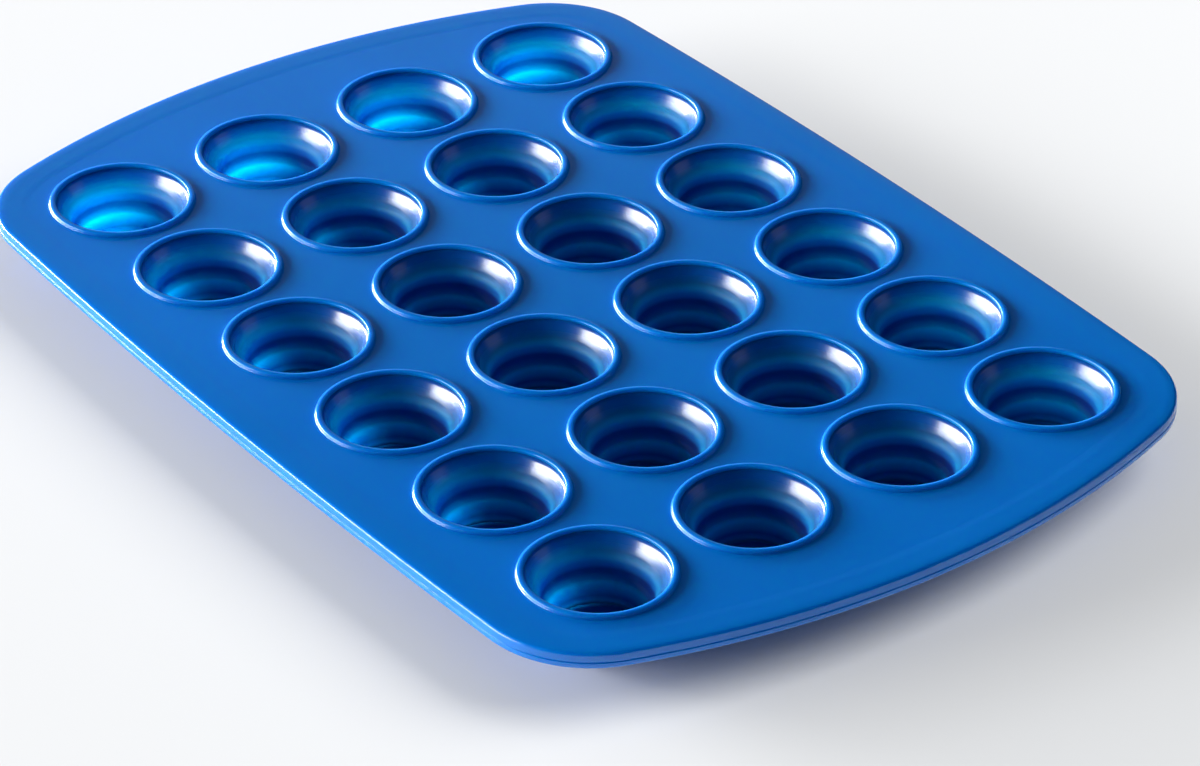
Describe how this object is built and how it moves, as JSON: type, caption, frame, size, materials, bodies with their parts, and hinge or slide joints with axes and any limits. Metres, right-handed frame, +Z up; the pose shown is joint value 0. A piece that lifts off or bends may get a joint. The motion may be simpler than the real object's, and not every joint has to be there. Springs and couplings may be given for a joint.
{
  "type": "muffin tin",
  "caption": "Flexible silicone mini muffin tray with stepped cups whose floors push up to release the muffins, and a wire-stiffened rim.",
  "frame": {"origin": "on the supporting surface, under the middle of the tray", "axes": "+X across the tray, +Y along its length, +Z up out of the cups"},
  "size_m": [0.2376, 0.3452, 0.022],
  "materials": {
    "deck_silicone": "satin translucent silicone",
    "cup_silicone": "satin translucent silicone, glossier inside the cups",
    "steel": "drawn wire"
  },
  "bodies": {
    "tray": {"tray_deck": "deck_silicone", "rim_edge": "deck_silicone", "rim_wire": "steel", "cup_wall_r1c1": "cup_silicone", "cup_wall_r1c2": "cup_silicone", "cup_wall_r1c3": "cup_silicone", "cup_wall_r1c4": "cup_silicone", "cup_wall_r2c1": "cup_silicone", "cup_wall_r2c2": "cup_silicone", "cup_wall_r2c3": "cup_silicone", "cup_wall_r2c4": "cup_silicone", "cup_wall_r3c1": "cup_silicone", "cup_wall_r3c2": "cup_silicone", "cup_wall_r3c3": "cup_silicone", "cup_wall_r3c4": "cup_silicone", "cup_wall_r4c1": "cup_silicone", "cup_wall_r4c2": "cup_silicone", "cup_wall_r4c3": "cup_silicone", "cup_wall_r4c4": "cup_silicone", "cup_wall_r5c1": "cup_silicone", "cup_wall_r5c2": "cup_silicone", "cup_wall_r5c3": "cup_silicone", "cup_wall_r5c4": "cup_silicone", "cup_wall_r6c1": "cup_silicone", "cup_wall_r6c2": "cup_silicone", "cup_wall_r6c3": "cup_silicone", "cup_wall_r6c4": "cup_silicone"},
    "base_r1c1": {"cup_base_r1c1": "cup_silicone"},
    "base_r1c2": {"cup_base_r1c2": "cup_silicone"},
    "base_r1c3": {"cup_base_r1c3": "cup_silicone"},
    "base_r1c4": {"cup_base_r1c4": "cup_silicone"},
    "base_r2c1": {"cup_base_r2c1": "cup_silicone"},
    "base_r2c2": {"cup_base_r2c2": "cup_silicone"},
    "base_r2c3": {"cup_base_r2c3": "cup_silicone"},
    "base_r2c4": {"cup_base_r2c4": "cup_silicone"},
    "base_r3c1": {"cup_base_r3c1": "cup_silicone"},
    "base_r3c2": {"cup_base_r3c2": "cup_silicone"},
    "base_r3c3": {"cup_base_r3c3": "cup_silicone"},
    "base_r3c4": {"cup_base_r3c4": "cup_silicone"},
    "base_r4c1": {"cup_base_r4c1": "cup_silicone"},
    "base_r4c2": {"cup_base_r4c2": "cup_silicone"},
    "base_r4c3": {"cup_base_r4c3": "cup_silicone"},
    "base_r4c4": {"cup_base_r4c4": "cup_silicone"},
    "base_r5c1": {"cup_base_r5c1": "cup_silicone"},
    "base_r5c2": {"cup_base_r5c2": "cup_silicone"},
    "base_r5c3": {"cup_base_r5c3": "cup_silicone"},
    "base_r5c4": {"cup_base_r5c4": "cup_silicone"},
    "base_r6c1": {"cup_base_r6c1": "cup_silicone"},
    "base_r6c2": {"cup_base_r6c2": "cup_silicone"},
    "base_r6c3": {"cup_base_r6c3": "cup_silicone"},
    "base_r6c4": {"cup_base_r6c4": "cup_silicone"}
  },
  "joints": [
    {"name": "push_out_r1c1", "type": "slide", "parent": "tray", "child": "base_r1c1", "axis": [0, 0, 1], "range_m": [0, 0.008], "stiffness_N_per_m": 600},
    {"name": "push_out_r1c2", "type": "slide", "parent": "tray", "child": "base_r1c2", "axis": [0, 0, 1], "range_m": [0, 0.008], "stiffness_N_per_m": 600},
    {"name": "push_out_r1c3", "type": "slide", "parent": "tray", "child": "base_r1c3", "axis": [0, 0, 1], "range_m": [0, 0.008], "stiffness_N_per_m": 600},
    {"name": "push_out_r1c4", "type": "slide", "parent": "tray", "child": "base_r1c4", "axis": [0, 0, 1], "range_m": [0, 0.008], "stiffness_N_per_m": 600},
    {"name": "push_out_r2c1", "type": "slide", "parent": "tray", "child": "base_r2c1", "axis": [0, 0, 1], "range_m": [0, 0.008], "stiffness_N_per_m": 600},
    {"name": "push_out_r2c2", "type": "slide", "parent": "tray", "child": "base_r2c2", "axis": [0, 0, 1], "range_m": [0, 0.008], "stiffness_N_per_m": 600},
    {"name": "push_out_r2c3", "type": "slide", "parent": "tray", "child": "base_r2c3", "axis": [0, 0, 1], "range_m": [0, 0.008], "stiffness_N_per_m": 600},
    {"name": "push_out_r2c4", "type": "slide", "parent": "tray", "child": "base_r2c4", "axis": [0, 0, 1], "range_m": [0, 0.008], "stiffness_N_per_m": 600},
    {"name": "push_out_r3c1", "type": "slide", "parent": "tray", "child": "base_r3c1", "axis": [0, 0, 1], "range_m": [0, 0.008], "stiffness_N_per_m": 600},
    {"name": "push_out_r3c2", "type": "slide", "parent": "tray", "child": "base_r3c2", "axis": [0, 0, 1], "range_m": [0, 0.008], "stiffness_N_per_m": 600},
    {"name": "push_out_r3c3", "type": "slide", "parent": "tray", "child": "base_r3c3", "axis": [0, 0, 1], "range_m": [0, 0.008], "stiffness_N_per_m": 600},
    {"name": "push_out_r3c4", "type": "slide", "parent": "tray", "child": "base_r3c4", "axis": [0, 0, 1], "range_m": [0, 0.008], "stiffness_N_per_m": 600},
    {"name": "push_out_r4c1", "type": "slide", "parent": "tray", "child": "base_r4c1", "axis": [0, 0, 1], "range_m": [0, 0.008], "stiffness_N_per_m": 600},
    {"name": "push_out_r4c2", "type": "slide", "parent": "tray", "child": "base_r4c2", "axis": [0, 0, 1], "range_m": [0, 0.008], "stiffness_N_per_m": 600},
    {"name": "push_out_r4c3", "type": "slide", "parent": "tray", "child": "base_r4c3", "axis": [0, 0, 1], "range_m": [0, 0.008], "stiffness_N_per_m": 600},
    {"name": "push_out_r4c4", "type": "slide", "parent": "tray", "child": "base_r4c4", "axis": [0, 0, 1], "range_m": [0, 0.008], "stiffness_N_per_m": 600},
    {"name": "push_out_r5c1", "type": "slide", "parent": "tray", "child": "base_r5c1", "axis": [0, 0, 1], "range_m": [0, 0.008], "stiffness_N_per_m": 600},
    {"name": "push_out_r5c2", "type": "slide", "parent": "tray", "child": "base_r5c2", "axis": [0, 0, 1], "range_m": [0, 0.008], "stiffness_N_per_m": 600},
    {"name": "push_out_r5c3", "type": "slide", "parent": "tray", "child": "base_r5c3", "axis": [0, 0, 1], "range_m": [0, 0.008], "stiffness_N_per_m": 600},
    {"name": "push_out_r5c4", "type": "slide", "parent": "tray", "child": "base_r5c4", "axis": [0, 0, 1], "range_m": [0, 0.008], "stiffness_N_per_m": 600},
    {"name": "push_out_r6c1", "type": "slide", "parent": "tray", "child": "base_r6c1", "axis": [0, 0, 1], "range_m": [0, 0.008], "stiffness_N_per_m": 600},
    {"name": "push_out_r6c2", "type": "slide", "parent": "tray", "child": "base_r6c2", "axis": [0, 0, 1], "range_m": [0, 0.008], "stiffness_N_per_m": 600},
    {"name": "push_out_r6c3", "type": "slide", "parent": "tray", "child": "base_r6c3", "axis": [0, 0, 1], "range_m": [0, 0.008], "stiffness_N_per_m": 600},
    {"name": "push_out_r6c4", "type": "slide", "parent": "tray", "child": "base_r6c4", "axis": [0, 0, 1], "range_m": [0, 0.008], "stiffness_N_per_m": 600}
  ]
}
